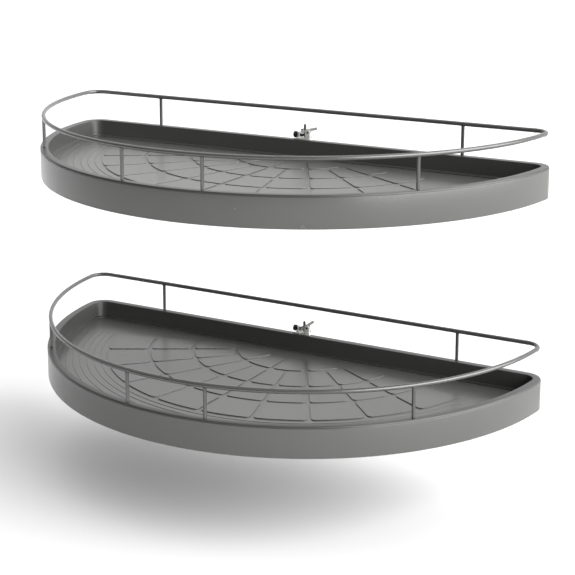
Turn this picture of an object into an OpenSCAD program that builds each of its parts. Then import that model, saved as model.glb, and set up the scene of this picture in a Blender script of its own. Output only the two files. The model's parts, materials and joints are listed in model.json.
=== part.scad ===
// Two half-moon carousel shelves for the upright post of a corner cabinet.
// Each shelf is a moulded tray in a steel band, under a wire gallery, and turns on a hub behind
// its flat side. The post is not part of the model: it runs up the Z axis, through both hubs.

/* [Tray] */
// Width of a tray along its flat side, which is also the diameter of its round side
tray_w = 800; // [700:5:900]
// Radius of the two corners where the flat side meets the round one
corner_r = 28; // [24:1:45]
// Height of the band and lip
tray_h = 45; // [40:1:60]
// Width of the lip, from the outer face to the well
lip_w = 12; // [11.5:0.5:16]
// Thickness of the lip
lip_t = 3; // [2.5:0.5:5]
// Depth of the well, from the lip to the mat
well_depth = 27; // [22:1:32]
// Thickness of the well's wall and floor
pan_t = 2.5; // [2:0.5:3]
// Width of the ledge at the foot of the well's wall
ledge_w = 4.5; // [3:0.5:6]
// Height of the ledge above the mat
ledge_rise = 1.6; // [0.5:0.1:3]
// Distance between the two trays
shelf_pitch = 311; // [250:1:400]

/* [Band] */
// Thickness of the steel band
band_t = 1.8; // [1.2:0.1:2.5]
// Shadow gap between the band and the lip
band_gap = 0.4; // [0.2:0.1:1]

/* [Mat] */
// Thickness of the mat
mat_t = 1.5; // [1:0.1:3]
// Gap between the mat and the ledge
mat_gap = 0.3; // [0.1:0.1:1]
// Height of the ribs of the web
rib_h = 1.1; // [0.5:0.1:2]
// Width of the ribs of the web
rib_w = 2.4; // [1.5:0.1:4]
// Radius of the innermost ring of the web
web_inner_r = 105; // [80:1:130]
// Distance between the rings of the web
web_step = 68; // [55:1:72]
// Number of rings in the web
web_rings = 4; // [2:1:4]
// Angle between the spokes of the web
spoke_step = 15; // [10:5:30]
// Gap between a rib and the junction that it stops at
rib_gap = 3.5; // [2:0.5:8]

/* [Gallery] */
// Diameter of the rail
rail_d = 6.2; // [5:0.1:8]
// Height of the middle of the rail above the tray's lower edge
rail_rise = 91; // [70:1:110]
// Distance of the rail and the posts from the outer face
rail_inset = 6; // [5.5:0.1:6.5]
// Diameter of the posts
post_d = 5; // [4:0.1:6]
// Distance of the two posts on the flat side from its middle
back_post_x = 261.5; // [200:0.5:300]
// Angle of the two middle posts from the front
mid_post_a = 9.2; // [6:0.2:20]
// Angle of the two outer posts from the front
side_post_a = 50.4; // [40:0.2:60]
// Length of the post's stud under the lip
stud_len = 7; // [5:0.5:10]
// Diameter of the post's stud
stud_d = 3; // [2.5:0.1:4]
// Width across the post's nut
nut_w = 5.5; // [5:0.1:6]
// Thickness of the post's nut
nut_t = 2.4; // [1.5:0.1:4]

/* [Hub] */
// Radius of the post that the hubs fit
post_r = 12.5; // [10:0.5:12.5]
// Clearance between the post and the sleeve
post_fit = 0.1; // [0.05:0.05:0.4]
// Wall of the sleeve
sleeve_t = 3.4; // [2.5:0.1:4]
// Distance from the post's axis to the tray's flat face
hub_back = 24; // [24:0.5:30]
// Distance that the hub hangs below the tray
hub_drop = 20; // [16:1:30]
// Distance from the tray's lower edge to the top of the hub
hub_rise = 26.5; // [24:0.5:30]
// Radius of the sleeve's flange
flange_r = 24; // [23.5:0.1:28]
// Thickness of the sleeve's flange
flange_t = 9; // [8:0.5:12]
// Length of the grub screws
grub_len = 8; // [6:0.5:8]
// Radius of the grub screws
grub_r = 2.5; // [2:0.1:3]
// Running clearance between a bush and the sleeve
bush_fit = 0.05; // [0.02:0.01:0.1]
// Wall of the bushes
bush_t = 3; // [2:0.1:3]
// Length of a bush inside the housing
bush_len = 10; // [8:0.5:11]
// Thickness of a bush's flange
bush_flange_t = 2.5; // [1.5:0.1:3]
// Thickness of the thrust washer
washer_t = 1.7; // [1:0.1:2]
// Wall of the housing
housing_t = 3.4; // [2.5:0.1:3.4]
// Gap between pieces that turn past each other
turn_gap = 0.3; // [0.2:0.05:0.4]
// Thickness of the index collar
collar_t = 3.2; // [2.5:0.1:4]
// Number of index holes
index_holes = 8; // [4:4:8]
// Clearance round the latch rod in an index hole
index_fit = 0.5; // [0.3:0.1:0.6]

/* [Carrier] */
// Thickness of the hub plate and of the arms
plate_t = 4; // [3:0.5:5]
// Half width of the hub plate
plate_half_w = 50; // [40:1:60]
// Length of the hub plate under the tray
plate_reach = 88; // [70:1:100]
// Clearance of the hub plate in the band's notch
notch_gap = 0.5; // [0.3:0.1:2]
// Width of an arm
arm_w = 24; // [20:1:26]
// Angle of the two side arms from the middle one
arm_a = 52; // [48:1:60]
// Distance of an arm's inner end from the middle of the flat face
arm_start = 34; // [32:1:40]
// Distance of an arm's outer end from the middle of the flat face
arm_end = 320; // [280:1:330]
// Radius of the screws in the arms
arm_screw_r = 2; // [1.5:0.1:2.5]
// Depth of a screw in the tray's boss
boss_bite = 5; // [4.5:0.1:5.5]
// Radius of the tray's bosses
boss_r = 8; // [6:0.5:10]

/* [Latch] */
// Distance of the latch rod to the left of the post's axis
latch_left = 3; // [0:0.5:4]
// Distance of the latch rod behind the flat face
latch_back = 4.8; // [4.6:0.1:5]
// Diameter of the latch rod
rod_d = 4; // [3:0.1:4.5]
// Height of the rod's tip above the lip when the rod just clears the collar
rod_rise = 18.3; // [16:0.1:24]
// Sliding clearance of the rod in its guide
rod_fit = 0.08; // [0.05:0.01:0.1]
// Thickness of the latch bracket
bracket_t = 2; // [1.5:0.1:2.5]
// Thickness of the latch bracket's leaf, which hangs down the flat face
leaf_t = 1.2; // [1:0.1:1.3]
// Gap between the latch bracket's leaf and the index collar
leaf_gap = 0.8; // [0.6:0.1:2]
// Diameter of the crossbar
crossbar_d = 2.4; // [2:0.1:3]
// Length of the crossbar in front of the rod
crossbar_len = 12; // [9:0.5:14]
// Distance from the rod to the lever's pivot
pivot_right = 11.5; // [11:0.1:12.5]
// Height of the lever's pivot above the lip
pivot_rise = 11.5; // [10:0.5:14]
// Thickness of the lever
lever_t = 4; // [3:0.1:4.5]
// Radius of the lever's boss
lever_boss_r = 5.5; // [4.5:0.1:6]
// Length of the lever's arm from its pivot
lever_arm = 17; // [14:0.5:24]
// Radius of the rounded end of the lever's nose
nose_r = 1.5; // [1.2:0.1:2]
// Angle that the nose points below level when the rod just clears the collar
nose_drop = 21; // [15:1:25]
// Gap between the nose and the crossbar
nose_gap = 0.4; // [0.3:0.05:0.6]
// Thickness of the lever's arm
lever_arm_t = 4.2; // [3:0.1:5]
// Slope of the lever's arm when the rod just clears the collar
lever_slope = 36; // [30:1:45]
// Angle by which the upper shelf's lever is pressed down, which lifts its rod
lever_press = 22; // [0:1:25]
// Diameter of the lever's pin
lever_pin_d = 3; // [2:0.1:4]
// Diameter of the thumb screw's head
thumb_d = 9.6; // [7:0.1:10]
// Length of the thumb screw's head
thumb_len = 5; // [4:0.1:7]
// Distance from the rod to the thumb screw's head
thumb_left = 13.5; // [12:0.5:16]
// Height of the thumb screw above the lip
thumb_rise = 4.9; // [4.9:0.1:6]
// Diameter of the thumb screw's thread
thread_d = 5; // [4:0.1:5]
// Length of the latch spring when the rod just clears the collar
spring_len = 8.2; // [7.5:0.1:8.4]
// Wall of the latch spring's outline
spring_t = 1; // [0.7:0.1:1.2]

/* [Hidden] */
$fn = 96;
eps = 0.01;

// Plan of the tray. The post's axis is at the origin and the flat face at y = flat_y.
tray_r = tray_w / 2;
flat_y = -hub_back;
tip_a = asin(corner_r / (tray_r - corner_r));
corner_x = (tray_r - corner_r) * cos(tip_a);

// Heights above the lower end of a hub
tray_z = hub_drop;
lip_z = tray_z + tray_h;
mat_top = lip_z - well_depth;
mat_z = mat_top - mat_t;
floor_z = mat_z - pan_t;
ledge_z = mat_top + ledge_rise;
band_top = lip_z - lip_t - band_gap;
wall_in = lip_w - pan_t;
ledge_in = lip_w + ledge_w;
seam_lap = 0.6;
seam_step = 0.02;
nut_gap = 0.25;
rim_flange_t = rail_inset - nut_w / 2 - nut_gap - band_t;
rim_flange_h = 12;
lip_round = 1;

// Gallery
rail_r = rail_d / 2;
weld_r = rail_r + 0.06;
weld_half = 1.2;
weld_gap = 0.3;
rail_z = tray_z + rail_rise;
stud_z = lip_z - stud_len;
nut_z = lip_z - lip_t - nut_t;
post_ring_r = tray_r - rail_inset;
post_angles = [-side_post_a, -mid_post_a, mid_post_a, side_post_a];

// Hub, from the bottom up
bore_r = post_r + post_fit;
sleeve_r = bore_r + sleeve_t;
hub_top = tray_z + hub_rise;
collar_z = hub_top - collar_t;
washer_z = flange_t + turn_gap;
bush_z = washer_z + washer_t;
housing_z = bush_z + bush_flange_t;
top_flange_z = collar_z - turn_gap - bush_flange_t;
bush_in_r = sleeve_r + bush_fit;
bush_out_r = sleeve_r + bush_t;
housing_r = bush_out_r + housing_t;
bush_flange_r = housing_r;
grub_angles = [30, 150, 270];
grub_z = flange_t / 2;
grub_depth = 0.4;
socket_depth = 3;

// Carrier
plate_z = floor_z - plate_t;
arm_z = plate_z - plate_t;
screw_head_r = 2 * arm_screw_r;
screw_head_t = arm_screw_r;
screw_inset = 16;
screw_step = 144;
near_screw = arm_start + screw_inset;
far_screws = [arm_end - screw_inset - screw_step, arm_end - screw_inset];
plate_margin = 4;
plate_back = housing_r + plate_margin;
plate_chamfer = 18;
hole_fit = 0.2;
clear_hole = arm_screw_r + hole_fit;

// Latch. The rod just clears the collar at rest_lift = 0, and rises with its lever.
rod_r = rod_d / 2;
rod_x = -latch_left;
rod_y = flat_y + latch_back;
rod_ring_r = norm([rod_x, rod_y]);
rod_ring_a = atan2(rod_y, rod_x);
rod_z = hub_top + turn_gap;
rod_top = lip_z + rod_rise;
index_r = rod_r + index_fit;
collar_wall = 0.8;
collar_r = rod_ring_r + index_r + collar_wall;
crossbar_r = crossbar_d / 2;
crossbar_end_y = rod_y - crossbar_len;
base_z = lip_z + bracket_t;
leaf_z = hub_top + leaf_gap;
guide_h = 5.5;
guide_top = leaf_z + guide_h;
guide_wall = 2.6;
guide_half_w = rod_r + guide_wall;
clip_t = 0.8;
clip_z = lip_z - spring_len - clip_t;
spring_in = 0.25;
spring_r = rod_r + spring_in + spring_t;
pivot_x = rod_x + pivot_right;
pivot_z = lip_z + pivot_rise;
crossbar_z = pivot_z - pivot_right * sin(nose_drop) + nose_r + nose_gap + crossbar_r;
lift_per_degree = 0.94 * pivot_right * PI / 180;
ear_gap = 0.4;
lever_y = crossbar_end_y + lever_t / 2 + 0.6;
ear_r = 4.4;
pin_end = 0.6;
thumb_z = lip_z + thumb_rise;
thumb_x = rod_x - thumb_left;
thumb_ear_t = 2.4;
thumb_ear_left = 8;
base_left = rod_x - thumb_ear_left - thumb_ear_t;
base_right = pivot_x + ear_r;
base_front = lever_y - lever_t / 2 - ear_gap - bracket_t;
base_back = rod_y + guide_half_w;
bracket_screw_r = 1.5;
bracket_head_r = 1.8 * bracket_screw_r;
bracket_head_t = 0.6 * bracket_screw_r;
bracket_screw_x = [rod_x - 4, rod_x + 4];
head_margin = 0.2;
bracket_screw_y = base_front + bracket_head_r + head_margin;
screw_tail = 1;
knurls = 16;
knurl_r = 0.5;
thumb_gap = 0.2;

function lift(press) = press * lift_per_degree;

// ---- Shapes that several pieces share ----

// Runs a profile round the tray. Its x is the distance in from the outer face, its y the height.
// The first child is the profile of the straight and the round side. The second is the corners':
// it is smaller by seam_step all round, and the corners run on into both sides by seam_lap.
module round_rim(gap = 0) {
    gap_a = gap / tray_r * 180 / PI;
    lap_a = (gap > 0 ? -gap : seam_lap) / corner_r * 180 / PI;
    translate([corner_x - gap, flat_y, 0])
        rotate([90, 0, -90])
            linear_extrude(2 * (corner_x - gap)) children(0);
    for (side = [0, 1])
        mirror([side, 0, 0])
            translate([corner_x, flat_y - corner_r, 0])
                rotate(-tip_a - lap_a)
                    rotate_extrude(angle = 90 + tip_a + 2 * lap_a)
                        translate([corner_r, 0]) mirror([1, 0]) children(1);
    translate([0, flat_y, 0])
        rotate(180 + tip_a + gap_a)
            rotate_extrude(angle = 180 - 2 * tip_a - 2 * gap_a, $fn = 240)
                translate([tray_r, 0]) mirror([1, 0]) children(0);
}

// Fills the tray's plan between two heights, from a given distance in from the outer face.
// The straight and round side are cut at the corners, where a disc makes the round.
module tray_plate(inset, z, t) {
    edge_y = flat_y - inset;
    side_r = tray_r - inset;
    side_x = side_r * cos(tip_a);
    side_y = flat_y - side_r * sin(tip_a);
    out_x = side_x + (side_x - corner_x);
    out_y = side_y + (side_y - edge_y);
    translate([0, 0, z]) {
        intersection() {
            translate([0, flat_y, 0]) cylinder(r = side_r, h = t, $fn = 240);
            linear_extrude(t)
                polygon([[-corner_x, edge_y], [corner_x, edge_y], [out_x, out_y], [out_x, -tray_w],
                         [-out_x, -tray_w], [-out_x, out_y]]);
        }
        for (side = [-1, 1])
            translate([side * corner_x, flat_y - corner_r, 0])
                cylinder(r = corner_r - inset - seam_step, h = t);
    }
}

module tube(outer_r, inner_r, z, h) {
    translate([0, 0, z])
        difference() {
            cylinder(r = outer_r, h = h);
            translate([0, 0, -1]) cylinder(r = inner_r, h = h + 2);
        }
}

module spoke_frame(a, r) {
    translate([r * sin(a), flat_y - r * cos(a), 0]) rotate(a) children();
}

module box(x, y, z) {
    translate([x[0], y[0], z[0]]) cube([x[1] - x[0], y[1] - y[0], z[1] - z[0]]);
}

// ---- Hub ----

module pole_sleeve() {
    color([0.62, 0.63, 0.64])
        difference() {
            union() {
                cylinder(r = sleeve_r, h = hub_top);
                cylinder(r = flange_r, h = flange_t);
            }
            translate([0, 0, -1]) cylinder(r = bore_r, h = hub_top + 2);
            for (a = grub_angles)
                rotate(a) translate([bore_r - 1, 0, grub_z]) rotate([0, 90, 0])
                    cylinder(r = grub_r, h = flange_r);
        }
}

module grub_screws() {
    color([0.25, 0.25, 0.26])
        for (a = grub_angles)
            rotate(a) translate([bore_r + grub_depth, 0, grub_z]) rotate([0, 90, 0])
                difference() {
                    cylinder(r = grub_r, h = grub_len);
                    translate([0, 0, grub_len - socket_depth])
                        cylinder(r = grub_r / 2, h = socket_depth + 1, $fn = 6);
                }
}

module index_collar() {
    color([0.30, 0.30, 0.31])
        difference() {
            tube(collar_r, sleeve_r, collar_z, collar_t);
            for (i = [0 : index_holes - 1])
                rotate(rod_ring_a + i * 360 / index_holes)
                    translate([rod_ring_r, 0, collar_z - 1]) cylinder(r = index_r, h = collar_t + 2);
        }
}

module thrust_washer() {
    color([0.85, 0.84, 0.80]) tube(bush_flange_r, bush_in_r, washer_z, washer_t);
}

module bottom_bush() {
    color([0.20, 0.20, 0.21]) {
        difference() {
            union() {
                translate([0, 0, bush_z]) cylinder(r = bush_flange_r, h = bush_flange_t);
                translate([0, 0, bush_z]) cylinder(r = bush_out_r, h = bush_flange_t + bush_len);
            }
            translate([0, 0, bush_z - 1]) cylinder(r = bush_in_r, h = bush_flange_t + bush_len + 2);
        }
    }
}

module top_bush() {
    color([0.20, 0.20, 0.21])
        difference() {
            union() {
                translate([0, 0, top_flange_z]) cylinder(r = bush_flange_r, h = bush_flange_t);
                translate([0, 0, top_flange_z - bush_len])
                    cylinder(r = bush_out_r, h = bush_flange_t + bush_len);
            }
            translate([0, 0, top_flange_z - bush_len - 1])
                cylinder(r = bush_in_r, h = bush_flange_t + bush_len + 2);
        }
}

module hub_housing() {
    color([0.36, 0.36, 0.37]) tube(housing_r, bush_out_r, housing_z, top_flange_z - housing_z);
}

// ---- Carrier under the tray ----

module hub_plate() {
    plate_front = flat_y - plate_reach;
    color([0.40, 0.40, 0.41])
        difference() {
            translate([0, 0, plate_z])
                linear_extrude(plate_t)
                    polygon([
                        [-plate_half_w + plate_chamfer, plate_back],
                        [plate_half_w - plate_chamfer, plate_back],
                        [plate_half_w, plate_back - plate_chamfer],
                        [plate_half_w, plate_front + plate_chamfer],
                        [plate_half_w - plate_chamfer, plate_front],
                        [-plate_half_w + plate_chamfer, plate_front],
                        [-plate_half_w, plate_front + plate_chamfer],
                        [-plate_half_w, plate_back - plate_chamfer]]);
            translate([0, 0, plate_z - 1]) cylinder(r = housing_r, h = plate_t + 2);
            for (a = [-arm_a, 0, arm_a])
                spoke_frame(a, near_screw)
                    translate([0, 0, plate_z - 1]) cylinder(r = arm_screw_r, h = plate_t + 2);
        }
}

// One flat arm, at an angle from the front of the tray
module carrier_arm(a) {
    color([0.40, 0.40, 0.41])
        difference() {
            spoke_frame(a, arm_end)
                box([-arm_w / 2, arm_w / 2], [0, arm_end - arm_start], [arm_z, arm_z + plate_t]);
            for (r = concat([near_screw], far_screws))
                spoke_frame(a, r)
                    translate([0, 0, arm_z - 1]) cylinder(r = clear_hole, h = plate_t + 2);
        }
}

module arm_screw(bite) {
    translate([0, 0, arm_z - screw_head_t])
        difference() {
            union() {
                cylinder(r = screw_head_r, h = screw_head_t);
                cylinder(r = arm_screw_r, h = screw_head_t + plate_t + bite);
            }
            translate([0, 0, -eps]) cylinder(r = screw_head_r / 3, h = screw_head_t / 2, $fn = 6);
        }
}

module arm_screws() {
    color([0.72, 0.72, 0.73])
        for (a = [-arm_a, 0, arm_a]) {
            spoke_frame(a, near_screw) arm_screw(plate_t);
            for (r = far_screws) spoke_frame(a, r) arm_screw(boss_bite);
        }
}

// ---- Tray ----

// A profile's "less" is the amount that it is smaller by, all round
module band_profile(less) {
    translate([less, tray_z + less]) square([band_t - 2 * less, band_top - tray_z - 2 * less]);
}

module rim_band() {
    color([0.50, 0.50, 0.48])
        difference() {
            round_rim() {
                band_profile(0);
                band_profile(seam_step);
            }
            box([-plate_half_w - notch_gap, plate_half_w + notch_gap],
                [flat_y - band_t - 1, flat_y + 1],
                [tray_z - 1, floor_z + notch_gap]);
        }
}

// The lip, its rolled edges, the flange behind the band, the well's wall and its ledge
module pan_profile(less) {
    lip_low = lip_z - lip_t + less;
    flange_low = lip_z - lip_t - rim_flange_h + less;
    round_r = lip_round - less;
    round_z = lip_z - lip_round;
    out_x = lip_round;
    in_x = lip_w - lip_round;
    polygon(concat(
        [[less, lip_low]],
        [for (a = [180 : -30 : 90]) [out_x + round_r * cos(a), round_z + round_r * sin(a)]],
        [for (a = [90 : -30 : 0]) [in_x + round_r * cos(a), round_z + round_r * sin(a)]],
        [[lip_w - less, ledge_z - less], [ledge_in - less, ledge_z - less],
         [ledge_in - less, floor_z + less], [wall_in + less, floor_z + less],
         [wall_in + less, lip_low], [band_t + rim_flange_t - less, lip_low],
         [band_t + rim_flange_t - less, flange_low], [band_t + less, flange_low],
         [band_t + less, lip_low]]));
}

module tray_pan() {
    color([0.52, 0.52, 0.50])
        difference() {
            union() {
                round_rim() {
                    pan_profile(0);
                    pan_profile(seam_step);
                }
                tray_plate(ledge_in - pan_t, floor_z, pan_t);
                for (a = [-arm_a, 0, arm_a], r = far_screws)
                    spoke_frame(a, r)
                        translate([0, 0, arm_z + plate_t]) cylinder(r = boss_r, h = plate_t + pan_t);
            }
            for (a = [-arm_a, 0, arm_a], r = far_screws)
                spoke_frame(a, r)
                    translate([0, 0, arm_z + plate_t - 1]) cylinder(r = arm_screw_r, h = boss_bite + 1);
            at_posts()
                translate([0, 0, lip_z - lip_t - 1]) cylinder(r = stud_d / 2, h = lip_t + 2);
            for (x = bracket_screw_x)
                translate([x, bracket_screw_y, lip_z - lip_t - 1])
                    cylinder(r = bracket_screw_r, h = lip_t + 2);
        }
}

// One rib of a ring, between two spokes
module ring_rib(r, a) {
    gap_a = (rib_gap + rib_w / 2) / r * 180 / PI;
    translate([0, flat_y, mat_top - mat_t / 2])
        rotate(a - 90 + gap_a)
            rotate_extrude(angle = spoke_step - 2 * gap_a)
                translate([r - rib_w / 2, 0]) square([rib_w, rib_h + mat_t / 2]);
}

// One rib of a spoke, between two radii
module spoke_rib(a, from_r, to_r) {
    spoke_frame(a, to_r - rib_gap)
        box([-rib_w / 2, rib_w / 2], [0, to_r - from_r - 2 * rib_gap],
            [mat_top - mat_t / 2, mat_top + rib_h]);
}

module web_mat() {
    last_a = 90 - spoke_step;
    color([0.55, 0.55, 0.53]) {
        tray_plate(ledge_in + mat_gap, mat_z, mat_t);
        for (i = [0 : web_rings - 1], a = [-last_a : spoke_step : last_a - 1])
            ring_rib(web_inner_r + i * web_step, a);
        for (i = [1 : web_rings - 1], a = [-last_a : spoke_step : last_a])
            spoke_rib(a, web_inner_r + (i - 1) * web_step, web_inner_r + i * web_step);
        for (a = [-4 * spoke_step : 2 * spoke_step : 4 * spoke_step])
            spoke_rib(a, web_inner_r / 2, web_inner_r);
    }
}

// ---- Gallery ----

// The bead where two bent lengths of the rail meet
module weld() {
    translate([-weld_half, 0, 0]) rotate([0, 90, 0]) cylinder(r = weld_r, h = 2 * weld_half, $fn = 48);
}

module gallery_rail() {
    color([0.45, 0.45, 0.45])
        union() {
            round_rim(weld_gap) {
                translate([rail_inset, rail_z]) circle(r = rail_r, $fn = 48);
                translate([rail_inset, rail_z]) circle(r = rail_r, $fn = 48);
            }
            for (s = [-1, 1]) {
                translate([s * corner_x, flat_y - rail_inset, rail_z]) weld();
                translate([0, flat_y, rail_z]) rotate(s * (90 - tip_a))
                    translate([0, -post_ring_r, 0]) weld();
            }
        }
}

// Puts its children at each post, turned to the rail's run there
module at_posts() {
    for (s = [-1, 1])
        translate([s * back_post_x, flat_y - rail_inset, 0]) children();
    for (a = post_angles)
        spoke_frame(a, post_ring_r) children();
}

// Each post is coped to the rail that it is welded to
module gallery_posts() {
    color([0.40, 0.40, 0.41])
        at_posts() {
            difference() {
                translate([0, 0, lip_z]) cylinder(r = post_d / 2, h = rail_z - lip_z);
                translate([-post_d, 0, rail_z]) rotate([0, 90, 0]) cylinder(r = rail_r, h = 2 * post_d);
            }
            translate([0, 0, stud_z]) cylinder(r = stud_d / 2, h = stud_len + 1);
        }
}

module post_nuts() {
    color([0.72, 0.72, 0.73])
        at_posts()
            translate([0, 0, nut_z])
                difference() {
                    cylinder(d = nut_w, h = nut_t, $fn = 6);
                    translate([0, 0, -1]) cylinder(r = stud_d / 2, h = nut_t + 2);
                }
}

// ---- Latch on the flat side ----

module latch_bracket() {
    color([0.80, 0.80, 0.78])
        difference() {
            union() {
                box([base_left, base_right], [base_front, base_back], [lip_z, base_z]);
                box([rod_x - guide_half_w, rod_x + guide_half_w], [flat_y, flat_y + leaf_t],
                    [leaf_z, base_z]);
                box([rod_x - guide_half_w, rod_x + guide_half_w], [flat_y, base_back],
                    [leaf_z, guide_top]);
                box([base_left, base_left + thumb_ear_t], [rod_y - thread_d, base_back],
                    [lip_z, thumb_z + thread_d]);
                for (y = [lever_y - lever_t / 2 - ear_gap - bracket_t, lever_y + lever_t / 2 + ear_gap]) {
                    translate([pivot_x, y + bracket_t, pivot_z]) rotate([90, 0, 0])
                        cylinder(r = ear_r, h = bracket_t);
                    box([pivot_x - ear_r, pivot_x + ear_r], [y, y + bracket_t], [lip_z, pivot_z]);
                }
            }
            translate([rod_x, rod_y, leaf_z - 1])
                cylinder(r = rod_r + rod_fit, h = base_z - leaf_z + 2);
            translate([base_left - 1, rod_y, thumb_z]) rotate([0, 90, 0])
                cylinder(r = thread_d / 2 + rod_fit, h = thumb_ear_t + 2);
            translate([pivot_x, base_back, pivot_z]) rotate([90, 0, 0])
                cylinder(r = lever_pin_d / 2, h = base_back - base_front + 1);
            for (x = bracket_screw_x)
                translate([x, bracket_screw_y, lip_z - 1])
                    cylinder(r = bracket_screw_r + hole_fit, h = bracket_t + 2);
        }
}

module bracket_screws() {
    color([0.72, 0.72, 0.73])
        for (x = bracket_screw_x)
            translate([x, bracket_screw_y, 0]) {
                translate([0, 0, lip_z - lip_t - screw_tail])
                    cylinder(r = bracket_screw_r, h = screw_tail + lip_t + bracket_t + eps);
                translate([0, 0, base_z]) cylinder(r = bracket_head_r, h = bracket_head_t);
            }
}

module lever_pin() {
    reach = lever_t / 2 + ear_gap + bracket_t + pin_end;
    color([0.45, 0.45, 0.46])
        translate([pivot_x, lever_y + reach, pivot_z]) rotate([90, 0, 0])
            cylinder(d = lever_pin_d, h = 2 * reach);
}

// The lever, turned down from its slope by the angle that it is pressed
module latch_lever(press) {
    color([0.82, 0.82, 0.80])
        difference() {
            translate([pivot_x, lever_y + lever_t / 2, pivot_z])
                rotate([90, press - lever_slope, 0]) {
                    cylinder(r = lever_boss_r, h = lever_t);
                    translate([0, lever_boss_r - lever_arm_t, 0])
                        cube([lever_arm - lever_arm_t / 2, lever_arm_t, lever_t]);
                    translate([lever_arm - lever_arm_t / 2, lever_boss_r - lever_arm_t / 2, 0])
                        cylinder(d = lever_arm_t, h = lever_t);
                    rotate(180 + nose_drop - lever_slope) {
                        translate([0, -nose_r, 0]) cube([pivot_right, 2 * nose_r, lever_t]);
                        translate([pivot_right, 0, 0]) cylinder(r = nose_r, h = lever_t);
                    }
                }
            translate([pivot_x, lever_y + lever_t, pivot_z]) rotate([90, 0, 0])
                cylinder(r = lever_pin_d / 2 + rod_fit, h = 2 * lever_t);
        }
}

module latch_rod(press) {
    tip = rod_r;
    color([0.30, 0.30, 0.31])
        translate([rod_x, rod_y, rod_z + lift(press)])
            difference() {
                union() {
                    cylinder(r = rod_r, h = rod_top - rod_z - tip);
                    translate([0, 0, rod_top - rod_z - tip])
                        cylinder(r1 = rod_r, r2 = rod_r / 3, h = tip, $fn = 48);
                }
                translate([0, rod_r + 1, crossbar_z - rod_z]) rotate([90, 0, 0])
                    cylinder(r = crossbar_r, h = rod_d + 2);
            }
}

module rod_crossbar(press) {
    color([0.30, 0.30, 0.31])
        translate([rod_x, rod_y + rod_r + 1, crossbar_z + lift(press)]) rotate([90, 0, 0])
            cylinder(r = crossbar_r, h = crossbar_len + rod_r + 1);
}

module rod_clip(press) {
    color([0.30, 0.30, 0.31])
        translate([rod_x, rod_y, lift(press)]) tube(spring_r, rod_r, clip_z, clip_t);
}

module latch_spring(press) {
    color([0.70, 0.70, 0.71])
        translate([rod_x, rod_y, 0])
            tube(spring_r, rod_r + spring_in, clip_z + clip_t + lift(press), spring_len - lift(press));
}

module thumb_screw() {
    shank = thumb_left - rod_r - thumb_gap;
    color([0.35, 0.35, 0.36])
        translate([thumb_x, rod_y, thumb_z]) rotate([0, 90, 0]) {
            cylinder(r = thread_d / 2, h = shank);
            translate([0, 0, -thumb_len])
                difference() {
                    cylinder(d = thumb_d, h = thumb_len);
                    for (i = [0 : knurls - 1])
                        rotate(i * 360 / knurls)
                            translate([thumb_d / 2, 0, -1]) cylinder(r = knurl_r, h = thumb_len + 2, $fn = 24);
                }
        }
}

// ---- The two shelves ----

module upper() {
    translate([0, 0, shelf_pitch]) children();
}

pole_sleeve();  // lower_pole_sleeve
grub_screws();  // lower_grub_screws
index_collar();  // lower_index_collar
thrust_washer();  // lower_thrust_washer
bottom_bush();  // lower_bottom_bush
top_bush();  // lower_top_bush
hub_housing();  // lower_hub_housing
hub_plate();  // lower_hub_plate
carrier_arm(-arm_a);  // lower_left_arm
carrier_arm(0);  // lower_middle_arm
carrier_arm(arm_a);  // lower_right_arm
arm_screws();  // lower_arm_screws
rim_band();  // lower_rim_band
tray_pan();  // lower_tray_pan
web_mat();  // lower_web_mat
gallery_rail();  // lower_gallery_rail
gallery_posts();  // lower_gallery_posts
post_nuts();  // lower_post_nuts
latch_bracket();  // lower_latch_bracket
bracket_screws();  // lower_bracket_screws
lever_pin();  // lower_lever_pin
latch_lever(0);  // lower_latch_lever
latch_rod(0);  // lower_latch_rod
rod_crossbar(0);  // lower_rod_crossbar
rod_clip(0);  // lower_rod_clip
latch_spring(0);  // lower_latch_spring
thumb_screw();  // lower_thumb_screw
upper() pole_sleeve();  // upper_pole_sleeve
upper() grub_screws();  // upper_grub_screws
upper() index_collar();  // upper_index_collar
upper() thrust_washer();  // upper_thrust_washer
upper() bottom_bush();  // upper_bottom_bush
upper() top_bush();  // upper_top_bush
upper() hub_housing();  // upper_hub_housing
upper() hub_plate();  // upper_hub_plate
upper() carrier_arm(-arm_a);  // upper_left_arm
upper() carrier_arm(0);  // upper_middle_arm
upper() carrier_arm(arm_a);  // upper_right_arm
upper() arm_screws();  // upper_arm_screws
upper() rim_band();  // upper_rim_band
upper() tray_pan();  // upper_tray_pan
upper() web_mat();  // upper_web_mat
upper() gallery_rail();  // upper_gallery_rail
upper() gallery_posts();  // upper_gallery_posts
upper() post_nuts();  // upper_post_nuts
upper() latch_bracket();  // upper_latch_bracket
upper() bracket_screws();  // upper_bracket_screws
upper() lever_pin();  // upper_lever_pin
upper() latch_lever(lever_press);  // upper_latch_lever
upper() latch_rod(lever_press);  // upper_latch_rod
upper() rod_crossbar(lever_press);  // upper_rod_crossbar
upper() rod_clip(lever_press);  // upper_rod_clip
upper() latch_spring(lever_press);  // upper_latch_spring
upper() thumb_screw();  // upper_thumb_screw
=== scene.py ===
import json
from math import asin, cos, degrees, pi, radians, sin

import bmesh
import bpy
from mathutils import Euler, Matrix, Vector


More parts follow.
